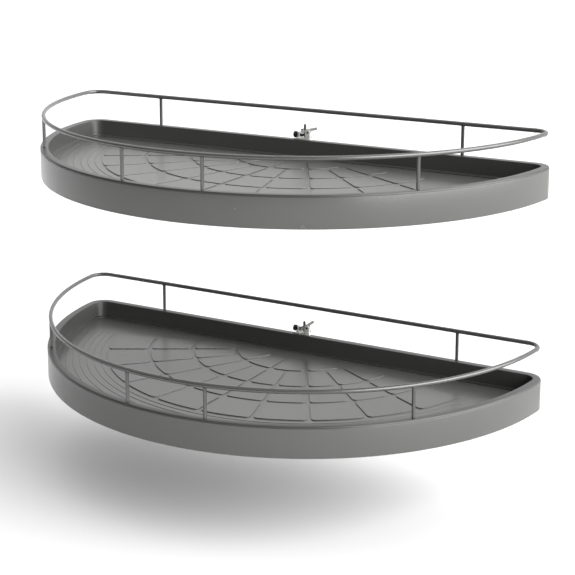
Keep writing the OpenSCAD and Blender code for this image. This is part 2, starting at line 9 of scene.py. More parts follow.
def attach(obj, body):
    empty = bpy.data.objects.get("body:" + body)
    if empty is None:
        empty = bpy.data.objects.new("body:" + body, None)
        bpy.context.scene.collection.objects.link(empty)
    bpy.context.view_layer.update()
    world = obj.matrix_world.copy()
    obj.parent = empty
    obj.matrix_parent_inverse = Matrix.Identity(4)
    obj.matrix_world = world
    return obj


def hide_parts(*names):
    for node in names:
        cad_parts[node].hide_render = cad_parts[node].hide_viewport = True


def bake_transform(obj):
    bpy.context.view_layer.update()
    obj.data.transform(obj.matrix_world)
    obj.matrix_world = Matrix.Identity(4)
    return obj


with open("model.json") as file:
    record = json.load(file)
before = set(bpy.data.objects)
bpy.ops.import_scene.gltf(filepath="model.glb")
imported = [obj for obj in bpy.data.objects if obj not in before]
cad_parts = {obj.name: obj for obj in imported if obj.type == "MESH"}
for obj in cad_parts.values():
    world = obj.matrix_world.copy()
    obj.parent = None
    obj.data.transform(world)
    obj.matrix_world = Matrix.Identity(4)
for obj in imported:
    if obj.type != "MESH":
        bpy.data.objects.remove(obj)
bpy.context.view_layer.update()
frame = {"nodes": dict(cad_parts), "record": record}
print("frame loaded,", len(frame["nodes"]), "nodes")

# Lengths are in millimetres, angles in the dictionaries in degrees, and heights are above
# the lower end of the lower hub. A piece is made for the lower shelf, and put on both.
tray = {"radius": 400, "corner": 28, "flatY": -24, "low": 20, "lip": 65, "pitch": 311}
shelves = {"lower": 0, "upper": tray["pitch"]}
leverPress = {"lower": 0, "upper": 22}
liftArm = {"length": 11.5, "share": 0.94}  # rod to pin, and the share of its arc that lifts
liftPerDegree = liftArm["share"] * liftArm["length"] * pi / 180
# Seen from the middle of the flat side, a corner's centre lies this angle in front of it
tipAngle = asin(tray["corner"] / (tray["radius"] - tray["corner"]))
cornerX = (tray["radius"] - tray["corner"]) * cos(tipAngle)
metresPerMm = 0.001


# Sets the inputs of a node. An input that is given an output socket is linked to it.
def setInputs(node, inputs):
    for key, value in inputs.items():
        if isinstance(value, bpy.types.NodeSocket):
            node.id_data.links.new(value, node.inputs[key])
        else:
            node.inputs[key].default_value = value


def addNode(tree, kind, inputs, **settings):
    node = tree.nodes.new(kind)
    for key, value in settings.items():
        setattr(node, key, value)
    setInputs(node, inputs)
    return node.outputs


# Speckle is the size of the grain, and grain its strength. Drift is the size of the slow
# changes, tone their share of the colour, and roughDrift what they add to the roughness.
plainFinish = {"metallic": 0.0, "ior": 1.5, "stretch": (1, 1, 1)}
finishes = {
    "band_satin": {
        "colour": (0.096, 0.096, 0.0925), "roughness": 0.27, "ior": 1.65, "speckle": 0.35,
        "grain": 0.05, "drift": 90, "tone": 0.02, "roughDrift": 0.01, "stretch": (1, 1, 0.06)},
    # The real tray is the same grey as the band and the mat. tray_grey is set darker than
    # band_satin and mat_grey, and that difference is painted shade for the tray's dim inner
    # walls.
    "tray_grey": {
        "colour": (0.058, 0.058, 0.056), "roughness": 0.36, "speckle": 0.5, "grain": 0.1,
        "drift": 70, "tone": 0.03, "roughDrift": 0.015},
    "mat_grey": {
        "colour": (0.092, 0.092, 0.0885), "roughness": 0.28, "ior": 1.8, "speckle": 0.7,
        "grain": 0.15, "drift": 60, "tone": 0.03, "roughDrift": 0.015},
    "gallery_satin": {
        "colour": (0.066, 0.066, 0.064), "roughness": 0.24, "ior": 1.8, "speckle": 0.3,
        "grain": 0.04, "drift": 40, "tone": 0.06, "roughDrift": 0.04},
    "latch_chrome": {
        "colour": (0.80, 0.79, 0.76), "metallic": 0.3, "roughness": 0.28, "speckle": 0.25,
        "grain": 0.05, "drift": 6, "tone": 0.06, "roughDrift": 0.08},
    "latch_dark": {
        "colour": (0.035, 0.035, 0.036), "metallic": 0.3, "roughness": 0.28, "speckle": 0.3,
        "grain": 0.06, "drift": 5, "tone": 0.2, "roughDrift": 0.1},
    "black_steel": {
        "colour": (0.028, 0.028, 0.030), "metallic": 0.7, "roughness": 0.42, "speckle": 0.4,
        "grain": 0.08, "drift": 8, "tone": 0.2, "roughDrift": 0.1},
    "spring_steel": {
        "colour": (0.40, 0.40, 0.41), "metallic": 1.0, "roughness": 0.28, "speckle": 0.2,
        "grain": 0.05, "drift": 3, "tone": 0.08, "roughDrift": 0.08},
    "sleeve_steel": {
        "colour": (0.42, 0.43, 0.44), "metallic": 1.0, "roughness": 0.30, "speckle": 0.25,
        "grain": 0.10, "drift": 15, "tone": 0.06, "roughDrift": 0.08,
        "stretch": (0.05, 0.05, 1)},
    "carrier_paint": {
        "colour": (0.045, 0.045, 0.047), "metallic": 0.1, "roughness": 0.55, "speckle": 0.9,
        "grain": 0.25, "drift": 40, "tone": 0.12, "roughDrift": 0.06},
    "zinc": {
        "colour": (0.46, 0.47, 0.48), "metallic": 1.0, "roughness": 0.32, "speckle": 0.5,
        "grain": 0.08, "drift": 4, "tone": 0.14, "roughDrift": 0.12},
    "bush_nylon": {
        "colour": (0.018, 0.018, 0.018), "roughness": 0.46, "speckle": 0.4, "grain": 0.08,
        "drift": 12, "tone": 0.1, "roughDrift": 0.05},
    "washer_nylon": {
        "colour": (0.60, 0.58, 0.53), "roughness": 0.44, "speckle": 0.4, "grain": 0.08,
        "drift": 12, "tone": 0.05, "roughDrift": 0.05},
}
# The scales are for a size of 1 mm, and the bump's depth is in metres. The tone runs between
# two values of the noise, which are its ends.
texture = {"detail": 2, "speckleScale": 500, "driftScale": 1000, "bumpDepth": 0.0003,
           "toneEnds": (0.2, 0.8)}


def makeFinish(name, look):
    look = {**plainFinish, **look}
    material = bpy.data.materials.new(name)
    material.use_nodes = True
    tree = material.node_tree
    place = addNode(tree, "ShaderNodeTexCoord", {})["Object"]
    stretch = addNode(tree, "ShaderNodeMapping", {"Vector": place, "Scale": look["stretch"]})
    speckle = addNode(tree, "ShaderNodeTexNoise", {
        "Vector": stretch["Vector"], "Scale": texture["speckleScale"] / look["speckle"],
        "Detail": texture["detail"]})
    bump = addNode(tree, "ShaderNodeBump", {
        "Height": speckle["Fac"], "Strength": look["grain"], "Distance": texture["bumpDepth"]})

    drift = addNode(tree, "ShaderNodeTexNoise", {
        "Vector": place, "Scale": texture["driftScale"] / look["drift"],
        "Detail": texture["detail"]})["Fac"]
    tone = tree.nodes.new("ShaderNodeValToRGB")
    tone.color_ramp.interpolation = "EASE"
    shares = (1 - look["tone"], 1 + look["tone"])
    for end, position, share in zip(tone.color_ramp.elements, texture["toneEnds"], shares):
        end.position = position
        end.color = [min(1, c * share) for c in look["colour"]] + [1]
    setInputs(tone, {"Fac": drift})
    gloss = addNode(tree, "ShaderNodeMapRange", {
        "Value": drift, "To Min": look["roughness"] - look["roughDrift"],
        "To Max": look["roughness"] + look["roughDrift"]})
    setInputs(tree.nodes["Principled BSDF"], {
        "Base Color": tone.outputs["Color"], "Metallic": look["metallic"], "IOR": look["ior"],
        "Roughness": gloss["Result"], "Normal": bump["Normal"]})
    return material


materials = {slot: makeFinish(slot, look) for slot, look in finishes.items()}
slotOf = {row["node"]: row["material_slot"] for row in frame["record"]["subparts"]}
print("finishes made:", len(materials))


def meshOf(bm, name):
    bmesh.ops.recalc_face_normals(bm, faces=bm.faces)
    mesh = bpy.data.meshes.new(name)
    bm.to_mesh(mesh)
    bm.free()
    return mesh


# Joins loops of corners, each to the next, by a band of faces. A pole is a loop of one.
def joinLoops(bm, loops):
    for low, high in zip(loops, loops[1:]):
        sides = max(len(low), len(high))
        for i in range(sides):
            j = (i + 1) % sides
            below = [low[i], low[j]] if len(low) > 1 else low
            above = [high[j], high[i]] if len(high) > 1 else high
            bm.faces.new(below + above)


# A ring round Z. Radius 0 gives a pole, and tooth is the depth of every second corner.
def addRing(bm, sides, radius, height, flats=0, tooth=0):
    if radius == 0:
        return [bm.verts.new((0, 0, height))]
    loop = []
    for i in range(sides):
        angle = 2 * pi * i / sides
        reach = radius - tooth * (i % 2)
        if flats:
            half = pi / flats
            reach = radius * cos(half) / cos(angle % (2 * half) - half)
        loop.append(bm.verts.new((reach * cos(angle), reach * sin(angle), height)))
    return loop


# Turns a row of (radius, height, flats, tooth) rings. Without poles it is joined to a tube.
def turned(rings, sides=32):
    bm = bmesh.new()
    loops = [addRing(bm, sides, *ring) for ring in rings]
    if len(loops[0]) > 1:
        loops.append(loops[0])
    joinLoops(bm, loops)
    return meshOf(bm, "turned")


# The crests and roots of a screw thread, for turned
def threadRings(radius, base, start, pitch, depth, root, turns=12):
    rings = []
    for i in range(turns):
        crest = base + start + pitch * i
        rings += [(radius, crest), (radius - depth, crest + root)]
    return rings


# Rounds the corners of a closed outline. Each corner is (x, y, radius).
def roundedOutline(corners, steps=4):
    points = []
    for i, (x, y, radius) in enumerate(corners):
        here = Vector((x, y))
        back = (Vector(corners[i - 1][:2]) - here).normalized()
        on = (Vector(corners[(i + 1) % len(corners)][:2]) - here).normalized()
        if radius == 0:
            points.append(here)
            continue
        half = back.angle(on) / 2
        centre = here + (back + on).normalized() * radius / sin(half)
        start = here + back * radius * cos(half) / sin(half) - centre
        end = here + on * radius * cos(half) / sin(half) - centre
        points += [centre + start.slerp(end, k / steps) for k in range(steps + 1)]
    return points


def lineMesh(lines, closed=False):
    verts, edges = [], []
    for line in lines:
        first = len(verts)
        verts += [tuple(p) for p in line]
        edges += [(first + i, first + i + 1) for i in range(len(line) - 1)]
        if closed:
            edges.append((len(verts) - 1, first))
    mesh = bpy.data.meshes.new("lines")
    mesh.from_pydata(verts, edges, [])
    return mesh


def tempObject(mesh):
    obj = bpy.data.objects.new("temp", mesh)
    bpy.context.scene.collection.objects.link(obj)
    return obj


# Takes the modifiers' result as a plain mesh, and drops the object
def takeMesh(obj):
    graph = bpy.context.evaluated_depsgraph_get()
    mesh = bpy.data.meshes.new_from_object(obj.evaluated_get(graph))
    bpy.data.objects.remove(obj)
    return mesh


def joined(meshes):
    bm = bmesh.new()
    for mesh in meshes:
        bm.from_mesh(mesh)
    return meshOf(bm, "joined")


def smoothed(mesh, angle=35):
    mesh.shade_smooth()
    mesh.set_sharp_from_angle(angle=radians(angle))
    return mesh


def moved(mesh, x=0, y=0, z=0, turn=(0, 0, 0)):
    copy = mesh.copy()
    rotation = Euler([radians(a) for a in turn]).to_matrix().to_4x4()
    copy.transform(Matrix.Translation((x, y, z)) @ rotation)
    return copy


# Puts a piece of one shelf into the scene, in place of its CAD node
def addPiece(shelf, node, mesh, part="shelf", lift=0):
    full = shelf + "_" + node
    place = Matrix.Translation((0, 0, shelves[shelf] + lift))
    mesh.transform(Matrix.Scale(metresPerMm, 4) @ place)
    mesh.name = full + "_look"
    mesh.materials.clear()
    mesh.materials.append(materials[slotOf[full]])
    piece = bpy.data.objects.new(full + "_look", mesh)
    bpy.context.scene.collection.objects.link(piece)
    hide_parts(full)
    if part:
        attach(piece, shelf + "_" + part)
    return piece


def addToBoth(node, mesh, part="shelf", lifts=None):
    for shelf in shelves:
        addPiece(shelf, node, mesh.copy(), part, lifts[shelf] if lifts else 0)


def newTree(name, inputs):
    tree = bpy.data.node_groups.new(name, "GeometryNodeTree")
    for way in ("INPUT", "OUTPUT"):
        tree.interface.new_socket("Geometry", in_out=way, socket_type="NodeSocketGeometry")
    for label, kind, value in inputs:
        socket = tree.interface.new_socket(
            label, in_out="INPUT", socket_type="NodeSocket" + kind)
        if value is not None:
            socket.default_value = value
    source = tree.nodes.new("NodeGroupInput").outputs
    return tree, source, tree.nodes.new("NodeGroupOutput").inputs


# Smooth faces, hard edges above an angle, real geometry and its material
def endTree(tree, geometry, source, target):
    smooth = addNode(tree, "GeometryNodeSetShadeSmooth", {"Geometry": geometry})
    edge = addNode(tree, "GeometryNodeInputMeshEdgeAngle", {})
    hard = addNode(tree, "FunctionNodeCompare", {
        0: edge["Unsigned Angle"], 1: source["Edge Angle"]},
        data_type="FLOAT", operation="GREATER_THAN")
    sharp = addNode(tree, "GeometryNodeSetShadeSmooth", {
        "Geometry": smooth["Geometry"], "Selection": hard["Result"], "Shade Smooth": False},
        domain="EDGE")
    real = addNode(tree, "GeometryNodeRealizeInstances", {"Geometry": sharp["Geometry"]})
    done = addNode(tree, "GeometryNodeSetMaterial", {
        "Geometry": real["Geometry"], "Material": source["Material"]})
    tree.links.new(done["Geometry"], target["Geometry"])


# Runs the section of one object along the lines of another
def makeSweepTree():
    tree, source, target = newTree("sweepAlong", [
        ("Section", "Object", None), ("Caps", "Bool", False),
        ("Edge Angle", "Float", radians(40)), ("Material", "Material", None)])
    path = addNode(tree, "GeometryNodeMeshToCurve", {"Mesh": source["Geometry"]})
    upright = addNode(tree, "GeometryNodeSetCurveNormal", {"Curve": path["Curve"]},
                      mode="Z_UP")
    section = addNode(tree, "GeometryNodeObjectInfo", {"Object": source["Section"]})
    outline = addNode(tree, "GeometryNodeMeshToCurve", {"Mesh": section["Geometry"]})
    swept = addNode(tree, "GeometryNodeCurveToMesh", {
        "Curve": upright["Curve"], "Profile Curve": outline["Curve"],
        "Fill Caps": source["Caps"]})
    endTree(tree, swept["Mesh"], source, target)
    return tree


# Puts a part at every point, turned by the point's own angle
def makeRepeatTree():
    tree, source, target = newTree("repeatAtPoints", [
        ("Part", "Object", None), ("Edge Angle", "Float", radians(35)),
        ("Material", "Material", None)])
    part = addNode(tree, "GeometryNodeObjectInfo", {"Object": source["Part"]})
    turn = addNode(tree, "GeometryNodeInputNamedAttribute", {"Name": "turn"},
                   data_type="FLOAT")
    angle = addNode(tree, "ShaderNodeCombineXYZ", {"Z": turn["Attribute"]})
    rotation = addNode(tree, "FunctionNodeEulerToRotation", {"Euler": angle["Vector"]})
    placed = addNode(tree, "GeometryNodeInstanceOnPoints", {
        "Points": source["Geometry"], "Instance": part["Geometry"],
        "Rotation": rotation["Rotation"]})
    real = addNode(tree, "GeometryNodeRealizeInstances", {"Geometry": placed["Instances"]})
    endTree(tree, real["Geometry"], source, target)
    return tree


# A coil of round wire that stands on its lower end
def makeCoilTree():
    tree, source, target = newTree("wireCoil", [
        ("Radius", "Float", 1.0), ("Wire", "Float", 0.1), ("Turns", "Float", 4.0),
        ("Length", "Float", 1.0), ("Edge Angle", "Float", radians(50)),
        ("Material", "Material", None)])
    coil = addNode(tree, "GeometryNodeCurveSpiral", {
        "Resolution": 28, "Rotations": source["Turns"], "Start Radius": source["Radius"],
        "End Radius": source["Radius"], "Height": source["Length"]})
    wire = addNode(tree, "GeometryNodeCurvePrimitiveCircle", {
        "Resolution": 10, "Radius": source["Wire"]})
    swept = addNode(tree, "GeometryNodeCurveToMesh", {
        "Curve": coil["Curve"], "Profile Curve": wire["Curve"], "Fill Caps": True})
    endTree(tree, swept["Mesh"], source, target)
    return tree


sweepTree, repeatTree, coilTree = makeSweepTree(), makeRepeatTree(), makeCoilTree()
weldWithin = 0.0005


def runTree(mesh, tree, inputs):
    host = tempObject(mesh)
    modifier = host.modifiers.new("tree", "NODES")
    modifier.node_group = tree
    idents = {item.name: item.identifier for item in tree.interface.items_tree
              if item.in_out == "INPUT"}
    for label, value in inputs.items():
        modifier[idents[label]] = value
    result = takeMesh(host)
    bm = bmesh.new()
    bm.from_mesh(result)
    bmesh.ops.remove_doubles(bm, verts=bm.verts, dist=weldWithin)
    bmesh.ops.recalc_face_normals(bm, faces=bm.faces)
    bm.to_mesh(result)
    bm.free()
    return result


# The section's points are (distance in, height). Curve to Mesh turns a section's y downwards.
def sweep(path, section, material, closed=True, caps=False, angle=40):
    outline = tempObject(lineMesh([[(x, -z, 0) for x, z in section]], closed=True))
    result = runTree(lineMesh(path, closed), sweepTree, {
        "Section": outline, "Caps": caps, "Edge Angle": radians(angle),
        "Material": materials[material]})
    bpy.data.objects.remove(outline)
    return result


# Each place is (x, y, height, turn in radians)
def repeat(mesh, places, material, angle=35):
    points = bpy.data.meshes.new("points")
    points.from_pydata([place[:3] for place in places], [], [])
    turns = points.attributes.new("turn", "FLOAT", "POINT")
    turns.data.foreach_set("value", [place[3] for place in places])
    part = tempObject(mesh)
    result = runTree(points, repeatTree, {
        "Part": part, "Edge Angle": radians(angle), "Material": materials[material]})
    bpy.data.objects.remove(part)
    return result


print("node trees built")


def arc(centre, radius, start, end, steps):
    angles = [start + (end - start) * i / steps for i in range(steps + 1)]
    return [Vector((centre[0] + radius * cos(a), centre[1] + radius * sin(a), 0))
            for a in angles]


# The tray's outline at a distance in from its face, clockwise from above
def trayOutline(inset, roundSteps=192, cornerSteps=14):
    radius, flat, corner = tray["radius"] - inset, tray["flatY"], tray["corner"]
    low = flat - corner
    right = arc((cornerX, low), corner - inset, pi / 2, -tipAngle, cornerSteps)
    front = arc((0, flat), radius, -tipAngle, tipAngle - pi, roundSteps)
    left = arc((-cornerX, low), corner - inset, pi + tipAngle, pi / 2, cornerSteps)
    return right + front[1:-1] + left


# The place at an angle from straight ahead and a distance from the middle of the flat side
def spokePoint(angle, reach):
    return (reach * sin(radians(angle)), tray["flatY"] - reach * cos(radians(angle)))


face = [trayOutline(0)]
bandPiece = {"thick": 1.8, "top": 61.6, "edge": 0.6, "notchHalf": 50.5, "notchTop": 34.5,
             "cutPast": 2, "cutThick": 8}
panPiece = {"lipWidth": 12, "lipThick": 3, "wall": 2.5, "ledge": 39.6, "ledgeIn": 16.5,
            "under": 34, "flangeIn": 3.0, "flangeLow": 50, "bandGap": 0.02,
            "floorThick": 2.5, "floorEdge": 0.3}
bossPiece = {"radius": 8, "low": 30, "bore": 2.02, "mouth": 2.3, "mouthDeep": 0.3,
             "edge": 0.6, "sink": 1, "sides": 40}
armAngles = (-52, 0, 52)
farScrews = (160, 304)  # from the middle of the flat side
roundShare = 0.3  # where the middle of a rounded edge lies


def makeBand():
    b = bandPiece
    section = roundedOutline([(x, z, b["edge"]) for x, z in (
        (0, tray["low"]), (0, b["top"]), (b["thick"], b["top"]), (b["thick"], tray["low"]))])
    ring = tempObject(sweep(face, section, "band_satin"))
    cutLow = tray["low"] - b["cutPast"]
    place = Matrix.Translation((0, tray["flatY"], (cutLow + b["notchTop"]) / 2))
    size = Matrix.Diagonal((2 * b["notchHalf"], b["cutThick"], b["notchTop"] - cutLow, 1))
    bm = bmesh.new()
    bmesh.ops.create_cube(bm, size=1, matrix=place @ size)
    cutter = tempObject(meshOf(bm, "notch"))
    cut = ring.modifiers.new("notch", "BOOLEAN")
    cut.operation, cut.object, cut.solver = "DIFFERENCE", cutter, "EXACT"
    mesh = takeMesh(ring)
    bpy.data.objects.remove(cutter)
    return smoothed(mesh, 40)


# Levels of (distance in, height) for a plate or pad, with a small round along its upper edge
def edgedLevels(inset, low, high, edge):
    return [(inset, low), (inset, high - edge),
            (inset + roundShare * edge, high - roundShare * edge), (inset + edge, high)]


# A solid with an outline at each level, which outlineAt gives for its distance in
def stack(bm, outlineAt, levels):
    loops = [[bm.verts.new((p[0], p[1], z)) for p in outlineAt(inset)] for inset, z in levels]
    joinLoops(bm, loops)
    bm.faces.new(loops[0])
    bm.faces.new(loops[-1])


# A flat plate in the tray's outline
def trayPlate(inset, low, high, edge):
    levels = [(inset + edge, low)] + edgedLevels(inset, low + edge, high, edge)
    bm = bmesh.new()
    stack(bm, trayOutline, levels)
    return meshOf(bm, "plate")


def makePan():
    p, b = panPiece, bossPiece
    lip, inner, under = tray["lip"], p["lipWidth"], p["under"]
    lipLow, hidden = lip - p["lipThick"], inner - p["wall"]
    behind = bandPiece["thick"] + p["bandGap"]
    section = roundedOutline([
        (0, lipLow, 0.5), (0, lip, 1.3), (inner, lip, 1.5), (inner, p["ledge"], 1.4),
        (p["ledgeIn"], p["ledge"], 0.7), (p["ledgeIn"], under, 0.3), (hidden, under, 1.2),
        (hidden, lipLow, 1.0), (p["flangeIn"], lipLow, 0.4),
        (p["flangeIn"], p["flangeLow"], 0.4), (behind, p["flangeLow"], 0.4),
        (behind, lipLow, 0)])
    rim = sweep(face, section, "tray_grey", angle=50)
    floor = trayPlate(p["ledgeIn"] - p["floorThick"], under, under + p["floorThick"],
                      p["floorEdge"])
    sunk = under + b["sink"]
    boss = turned([
        (b["bore"], sunk), (b["bore"], b["low"] + b["mouthDeep"]), (b["mouth"], b["low"]),
        (b["radius"] - b["edge"], b["low"]), (b["radius"], b["low"] + b["edge"]),
        (b["radius"], sunk)], b["sides"])
    places = [(*spokePoint(a, r), 0, 0) for a in armAngles for r in farScrews]
    return smoothed(joined([rim, floor, repeat(boss, places, "tray_grey")]), 50)


# The mat has raised pads in rings, with narrow channels between them that look like a web.
# A ring is (inner radius, outer radius, angle of a pad), and the pads end at the widest
# angle. Fine ribs follow the round side outside the pads, from the two ends towards the
# front. The ribs stop at the fine ends, and the first two run right through.
matPiece = {
    "inset": 16.8, "low": 36.5, "top": 38, "edge": 0.4, "sink": 0.4,
    "padHigh": 1.3, "channel": 5, "padCorner": 6.5, "padEdge": 0.25, "cornerSteps": 6,
    "sideSteps": 8, "widest": 75,
    "rings": ((52, 105, 30), (105, 173, 15), (173, 241, 15), (241, 309, 15)),
    "fineHigh": 0.5, "fineWidth": 1.3, "fineInner": 320, "fineStep": 10.6, "fineStart": 76,
    "fineSteps": 60, "fineEnds": (0, 0, 9, 21, 30, 39),
    "fineRound": ((0.3, 1), (0.15, 0.93), (0.05, 0.6))}


# The outline of a pad, a distance in from its edge. A pad reaches out to its outer ring, and
# stays a whole channel away from its inner ring and half a channel away from its spokes.
def padOutline(inner, outer, start, end, inset):
    m = matPiece
    corner, fromSpoke = m["padCorner"] - inset, m["channel"] / 2 + inset
    points = []
    corners = ((start, inner, -1), (start, outer, 1), (end, outer, 1), (end, inner, -1))
    for side, level, way in corners:
        fromRing = inset if way == 1 else m["channel"] + inset
        leaves = (side == start) == (way == 1)  # here the outline goes on along the ring
        bend = [i * pi / 2 / m["cornerSteps"] for i in range(m["cornerSteps"] + 1)]
        for t in bend if leaves else reversed(bend):
            radius = level - way * (fromRing + corner * (1 - sin(t)))
            slip = degrees((fromSpoke + corner * (1 - cos(t))) / radius)
            points.append(spokePoint(side + (slip if side == start else -slip), radius))
        if leaves:
            far = start + end - side
            radius = level - way * fromRing
            slip = degrees((fromSpoke + corner) / radius) * (1 if side < far else -1)
            for i in range(1, m["sideSteps"]):
                along = (far - side - 2 * slip) * i / m["sideSteps"]
                points.append(spokePoint(side + slip + along, radius))
    return points


def makePads():
    m = matPiece
    levels = edgedLevels(0, m["top"] - m["sink"], m["top"] + m["padHigh"], m["padEdge"])
    bm = bmesh.new()
    for inner, outer, step in m["rings"]:
        last = m["widest"] - m["widest"] % step
        for start in range(-last, last, step):
            sides = (inner, outer, start, start + step)
            stack(bm, lambda inset: padOutline(*sides, inset), levels)
    return meshOf(bm, "pads")


def fineLines():
    m = matPiece
    lines = []
    for i, end in enumerate(m["fineEnds"]):
        radius = m["fineInner"] + i * m["fineStep"]
        for side in (-1, 1) if end else (1,):
            first = radians(side * m["fineStart"])
            last = radians(side * end if end else -m["fineStart"])
            lines.append(arc((0, tray["flatY"]), radius, first - pi / 2, last - pi / 2,
                             m["fineSteps"]))
    return lines


def fineSection():
    m = matPiece
    half, top = m["fineWidth"] / 2, m["top"]
    right = [(half - across * m["fineWidth"], top + up * m["fineHigh"])
             for across, up in m["fineRound"]] + [(half, top), (half, top - m["sink"])]
    return [(-x, z) for x, z in reversed(right)] + right


def makeMat():
    m = matPiece
    fine = sweep(fineLines(), fineSection(), "mat_grey", closed=False, caps=True, angle=60)
    plate = trayPlate(m["inset"], m["low"], m["top"], m["edge"])
    return smoothed(joined([plate, makePads(), fine]), 20)


addToBoth("rim_band", makeBand())
addToBoth("tray_pan", makePan())
addToBoth("web_mat", makeMat())
print("trays made")


# The foot is (out from the post, up from the lip), the weld (out from the post, up from the
# underside of the wire), and the posts in front are given by their angle.
galleryPiece = {
    "inset": 6, "height": 111, "wire": 3.1, "wireSides": 24, "bead": 3.35, "beadHalf": 1.6,
    "beadSteps": 4, "beadSink": 0.3, "post": 2.5, "backPosts": 261.5,
    "frontPosts": (-50.4, -9.2, 9.2, 50.4), "foot": ((-0.35, 0.02), (0, 0.4)),
    "weld": ((0, -1.0), (0.25, -0.4), (0.5, 0.4), (-0.4, 1.1)),
    "stud": 1.5, "studLow": 58, "studTip": 0.4,
    "thread": {"start": 0.3, "pitch": 0.5, "depth": 0.22, "root": 0.25}}
nutPiece = {"across": 5.5, "low": 59.6, "thick": 2.4, "slack": 0.03, "edge": 0.3,
            "cornerEdge": 0.35, "faceShare": 0.92}


def postPlaces():
    g = galleryPiece
    places = [(s * g["backPosts"], tray["flatY"] - g["inset"], 0, 0) for s in (-1, 1)]
    for angle in g["frontPosts"]:
        place = spokePoint(angle, tray["radius"] - g["inset"])
        places.append((*place, 0, radians(angle)))
    return places


def makeRail():
    g = galleryPiece
    wire = []
    for i in range(g["wireSides"]):
        angle = 2 * pi * i / g["wireSides"]
        wire.append((g["inset"] + g["wire"] * cos(angle),
                     g["height"] + g["wire"] * sin(angle)))
    rail = sweep(face, wire, "gallery_satin", angle=60)

    inner, half, steps = g["wire"] - g["beadSink"], g["beadHalf"], g["beadSteps"]
    bulge = [(g["wire"] + (g["bead"] - g["wire"]) * cos(t * pi / 2 / steps), half * t / steps)
             for t in range(1 - steps, steps)]
    bead = turned([(inner, -half)] + bulge + [(inner, half)], g["wireSides"])
    ends = [(s * cornerX, tray["flatY"] - g["inset"], g["height"], 0) for s in (-1, 1)]
    reach = tray["radius"] - g["inset"]
    for s in (-1, 1):
        a = s * (pi / 2 - tipAngle)
        ends.append((reach * sin(a), tray["flatY"] - reach * cos(a), g["height"], a))
    beads = repeat(moved(bead, turn=(0, 90, 0)), ends, "gallery_satin")
    return smoothed(joined([rail, beads]), 60)


def makePosts():
    g = galleryPiece
    low, lip, top = g["studLow"], tray["lip"], g["height"] - g["wire"]
    rings = [(0, low), (g["stud"] - g["studTip"], low)]
    rings += threadRings(g["stud"], low, **g["thread"])
    rings += [(g["stud"], lip + g["foot"][0][1])]
    rings += [(g["post"] + out, lip + up) for out, up in g["foot"]]
    rings += [(g["post"] + out, top + up) for out, up in g["weld"]]
    rings += [(0, top + g["weld"][-1][1])]
    return repeat(turned(rings, 28), postPlaces(), "gallery_satin", 40)


def makeNuts():
    n = nutPiece
    corner, bore = n["across"] / 2, galleryPiece["stud"] + n["slack"]
    flat, edge, cornerEdge = corner * n["faceShare"], n["edge"], n["cornerEdge"]
    low, high = n["low"], n["low"] + n["thick"]
    nut = turned([(bore, low + edge), (bore + edge, low), (flat, low),
                  (corner, low + cornerEdge, 6), (corner, high - cornerEdge, 6),
                  (flat, high), (bore + edge, high), (bore, high - edge)], 36)
    return repeat(nut, postPlaces(), "zinc", 25)


addToBoth("gallery_rail", makeRail())
addToBoth("gallery_posts", makePosts())
addToBoth("post_nuts", makeNuts())
print("galleries made")


# A bent, turned or pressed piece whose CAD shape is right gets rounded edges on a copy. Each
# has the width of its edges and the part that it rides on.
roundedEdges = {
    "pole_sleeve": (0.5, "sleeve"), "index_collar": (0.25, "sleeve"),
    "thrust_washer": (0.2, "shelf"), "bottom_bush": (0.3, "shelf"),
    "top_bush": (0.3, "shelf"), "hub_housing": (0.35, "shelf"), "hub_plate": (0.6, "shelf"),
    "left_arm": (0.5, "shelf"), "middle_arm": (0.5, "shelf"), "right_arm": (0.5, "shelf"),
    "latch_bracket": (0.25, "shelf"), "latch_lever": (0.5, "lever"), "rod_clip": (0.12, "rod")}
cadCopy = {"weldMetres": 2e-6, "flatWithin": 0.6, "sharpAbove": 40, "edgeSteps": 2}


def addRounded(shelf, node, width, part):
    c = cadCopy
    bm = bmesh.new()
    bm.from_mesh(frame["nodes"][shelf + "_" + node].data)
    bmesh.ops.remove_doubles(bm, verts=bm.verts, dist=c["weldMetres"])
    bmesh.ops.dissolve_limit(
        bm, angle_limit=radians(c["flatWithin"]), verts=bm.verts, edges=bm.edges)
    mesh = bpy.data.meshes.new("rounded")
    bm.to_mesh(mesh)
    bm.free()
    down = Matrix.Translation((0, 0, -shelves[shelf]))
    mesh.transform(down @ Matrix.Scale(1 / metresPerMm, 4))
    host = tempObject(mesh)
    bevel = host.modifiers.new("edges", "BEVEL")
    bevel.width, bevel.segments, bevel.limit_method = width, c["edgeSteps"], "ANGLE"
    bevel.angle_limit = radians(c["sharpAbove"])
    addPiece(shelf, node, smoothed(takeMesh(host), c["sharpAbove"]), part)


for shelf in shelves:
    for node, (width, part) in roundedEdges.items():
        addRounded(shelf, node, width, part)

# The rings of a head are (radius, height above its face, flats). A point's are measured from
# the screw's inner end, and a socket's from its outer end.
screwPiece = {
    "radius": 2, "armLow": 26, "headThick": 2, "near": 50, "nearTop": 34, "farTop": 35,
    "tip": 0.6, "tipRadius": 1.3,
    "head": ((0, 1.1), (1.25, 0.9, 6), (1.35, 0.05, 6), (1.9, 0), (3.2, 0.15), (3.85, 0.9),
             (4, 1.7), (3.9, 2))}
grubPiece = {
    "radius": 2.5, "inner": 13.0, "length": 8, "height": 4.5, "angles": (30, 150, 270),
    "point": ((0, 0.5), (1.2, 0), (2.0, 0.3)),
    "thread": {"start": 0.7, "pitch": 0.55, "depth": 0.25, "root": 0.27},
    "socket": ((2.15, 0), (1.5, 0), (1.3, -0.2, 6), (1.25, -3, 6), (0, -3.3))}


def raised(rings, base):
    return [(radius, base + height, *flats) for radius, height, *flats in rings]


def armScrew(top):
    s = screwPiece
    rings = raised(s["head"], s["armLow"] - s["headThick"])
    rings += [(s["radius"], s["armLow"]), (s["radius"], top - s["tip"]),
              (s["tipRadius"], top), (0, top)]
    return turned(rings, 30)


